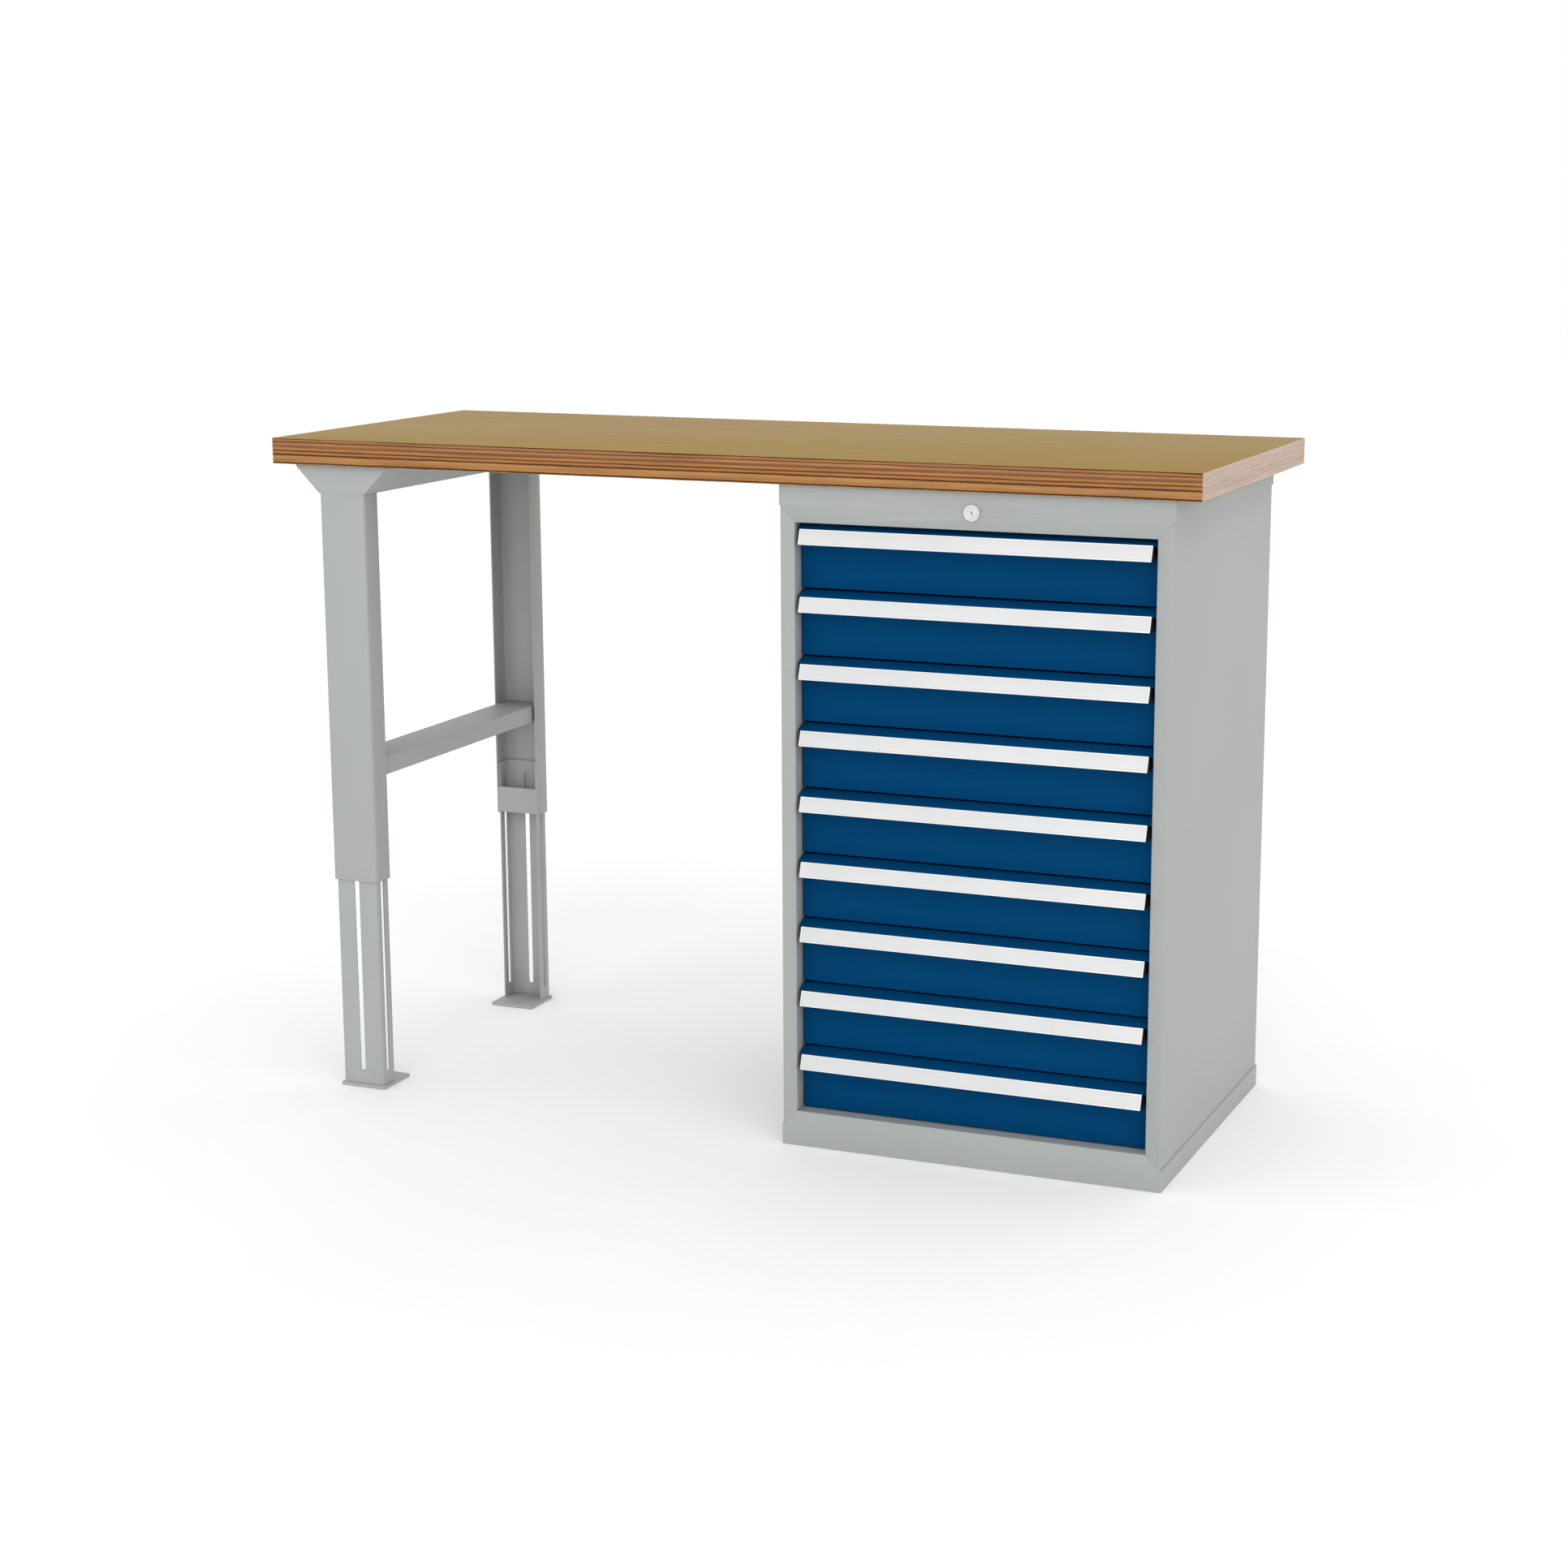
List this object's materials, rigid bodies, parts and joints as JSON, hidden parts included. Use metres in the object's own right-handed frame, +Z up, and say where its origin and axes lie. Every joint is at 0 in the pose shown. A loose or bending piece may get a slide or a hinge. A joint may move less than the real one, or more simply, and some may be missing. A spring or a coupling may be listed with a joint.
{
  "type": "workbench with drawer cabinet",
  "caption": "Workbench with a thick multiplex top on a lockable cabinet of full-width drawers and a leg frame of slotted telescopic U profiles.",
  "frame": {"origin": "on the floor under the middle of the worktop", "axes": "+X along the bench towards the drawer cabinet, +Y from the front to the back, +Z up"},
  "size_m": [1.5, 0.6, 1.05],
  "materials": {
    "plywood": "satin",
    "grey_paint": "satin",
    "blue_paint": "satin",
    "aluminium": "satin",
    "steel": "satin",
    "nickel": "gloss",
    "black_plastic": "matte",
    "label_strip": "gloss"
  },
  "bodies": {
    "bench": {"worktop": "plywood", "worktop_screws": "steel", "cabinet_base": "grey_paint", "cabinet_cap": "grey_paint", "cabinet_left_side": "grey_paint", "cabinet_right_side": "grey_paint", "cabinet_back_panel": "grey_paint", "runner_posts": "steel", "cabinet_runners": "steel", "lock_housing": "nickel", "top_beam": "grey_paint", "beam_end_plates": "grey_paint", "front_leg_outer": "grey_paint", "back_leg_outer": "grey_paint", "leg_straps": "grey_paint", "leg_crossbar": "grey_paint", "leg_clamp_bolts": "steel"},
    "drawer_1": {"drawer_1_tray": "grey_paint", "drawer_1_front": "blue_paint", "drawer_1_handle": "aluminium"},
    "slides_1": {"drawer_1_slides": "steel"},
    "drawer_2": {"drawer_2_tray": "grey_paint", "drawer_2_front": "blue_paint", "drawer_2_handle": "aluminium"},
    "slides_2": {"drawer_2_slides": "steel"},
    "drawer_3": {"drawer_3_tray": "grey_paint", "drawer_3_front": "blue_paint", "drawer_3_handle": "aluminium"},
    "slides_3": {"drawer_3_slides": "steel"},
    "drawer_4": {"drawer_4_tray": "grey_paint", "drawer_4_front": "blue_paint", "drawer_4_handle": "aluminium"},
    "slides_4": {"drawer_4_slides": "steel"},
    "drawer_5": {"drawer_5_tray": "grey_paint", "drawer_5_front": "blue_paint", "drawer_5_handle": "aluminium"},
    "slides_5": {"drawer_5_slides": "steel"},
    "drawer_6": {"drawer_6_tray": "grey_paint", "drawer_6_front": "blue_paint", "drawer_6_handle": "aluminium"},
    "slides_6": {"drawer_6_slides": "steel"},
    "drawer_7": {"drawer_7_tray": "grey_paint", "drawer_7_front": "blue_paint", "drawer_7_handle": "aluminium"},
    "slides_7": {"drawer_7_slides": "steel"},
    "drawer_8": {"drawer_8_tray": "grey_paint", "drawer_8_front": "blue_paint", "drawer_8_handle": "aluminium"},
    "slides_8": {"drawer_8_slides": "steel"},
    "drawer_9": {"drawer_9_tray": "grey_paint", "drawer_9_front": "blue_paint", "drawer_9_handle": "aluminium"},
    "slides_9": {"drawer_9_slides": "steel"},
    "lock_turning": {"lock_cylinder": "nickel", "lock_cam": "steel"},
    "lock_bar": {"lock_bar": "steel"},
    "front_leg_foot": {"front_leg_inner": "grey_paint", "front_foot_plate": "grey_paint"},
    "back_leg_foot": {"back_leg_inner": "grey_paint", "back_foot_plate": "grey_paint"}
  },
  "joints": [
    {"name": "drawer_1_slide", "type": "slide", "parent": "bench", "child": "drawer_1", "axis": [0, -1, 0], "range_m": [0, 0.48]},
    {"name": "slides_1_follow", "type": "slide", "parent": "bench", "child": "slides_1", "axis": [0, -1, 0], "range_m": [0, 0.24]},
    {"name": "drawer_2_slide", "type": "slide", "parent": "bench", "child": "drawer_2", "axis": [0, -1, 0], "range_m": [0, 0.48]},
    {"name": "slides_2_follow", "type": "slide", "parent": "bench", "child": "slides_2", "axis": [0, -1, 0], "range_m": [0, 0.24]},
    {"name": "drawer_3_slide", "type": "slide", "parent": "bench", "child": "drawer_3", "axis": [0, -1, 0], "range_m": [0, 0.48]},
    {"name": "slides_3_follow", "type": "slide", "parent": "bench", "child": "slides_3", "axis": [0, -1, 0], "range_m": [0, 0.24]},
    {"name": "drawer_4_slide", "type": "slide", "parent": "bench", "child": "drawer_4", "axis": [0, -1, 0], "range_m": [0, 0.48]},
    {"name": "slides_4_follow", "type": "slide", "parent": "bench", "child": "slides_4", "axis": [0, -1, 0], "range_m": [0, 0.24]},
    {"name": "drawer_5_slide", "type": "slide", "parent": "bench", "child": "drawer_5", "axis": [0, -1, 0], "range_m": [0, 0.48]},
    {"name": "slides_5_follow", "type": "slide", "parent": "bench", "child": "slides_5", "axis": [0, -1, 0], "range_m": [0, 0.24]},
    {"name": "drawer_6_slide", "type": "slide", "parent": "bench", "child": "drawer_6", "axis": [0, -1, 0], "range_m": [0, 0.48]},
    {"name": "slides_6_follow", "type": "slide", "parent": "bench", "child": "slides_6", "axis": [0, -1, 0], "range_m": [0, 0.24]},
    {"name": "drawer_7_slide", "type": "slide", "parent": "bench", "child": "drawer_7", "axis": [0, -1, 0], "range_m": [0, 0.48]},
    {"name": "slides_7_follow", "type": "slide", "parent": "bench", "child": "slides_7", "axis": [0, -1, 0], "range_m": [0, 0.24]},
    {"name": "drawer_8_slide", "type": "slide", "parent": "bench", "child": "drawer_8", "axis": [0, -1, 0], "range_m": [0, 0.48]},
    {"name": "slides_8_follow", "type": "slide", "parent": "bench", "child": "slides_8", "axis": [0, -1, 0], "range_m": [0, 0.24]},
    {"name": "drawer_9_slide", "type": "slide", "parent": "bench", "child": "drawer_9", "axis": [0, -1, 0], "range_m": [0, 0.48]},
    {"name": "slides_9_follow", "type": "slide", "parent": "bench", "child": "slides_9", "axis": [0, -1, 0], "range_m": [0, 0.24]},
    {"name": "lock_turn", "type": "hinge", "parent": "bench", "child": "lock_turning", "pos_m": [0.41, -0.292, 0.98], "axis": [0, 1, 0], "range_deg": [0, 90]},
    {"name": "lock_bar_lift", "type": "slide", "parent": "bench", "child": "lock_bar", "axis": [0, 0, 1], "range_m": [0, 0.012]},
    {"name": "front_leg_height", "type": "slide", "parent": "bench", "child": "front_leg_foot", "axis": [0, 0, 1], "range_m": [0, 0.07]},
    {"name": "back_leg_height", "type": "slide", "parent": "bench", "child": "back_leg_foot", "axis": [0, 0, 1], "range_m": [0, 0.07]}
  ],
  "couplings": [
    {"joint": "slides_1_follow", "follows": "drawer_1_slide", "ratio": 0.5},
    {"joint": "slides_2_follow", "follows": "drawer_2_slide", "ratio": 0.5},
    {"joint": "slides_3_follow", "follows": "drawer_3_slide", "ratio": 0.5},
    {"joint": "slides_4_follow", "follows": "drawer_4_slide", "ratio": 0.5},
    {"joint": "slides_5_follow", "follows": "drawer_5_slide", "ratio": 0.5},
    {"joint": "slides_6_follow", "follows": "drawer_6_slide", "ratio": 0.5},
    {"joint": "slides_7_follow", "follows": "drawer_7_slide", "ratio": 0.5},
    {"joint": "slides_8_follow", "follows": "drawer_8_slide", "ratio": 0.5},
    {"joint": "slides_9_follow", "follows": "drawer_9_slide", "ratio": 0.5},
    {"joint": "lock_turn", "follows": "lock_bar_lift", "rad_per_m": 130.9}
  ]
}
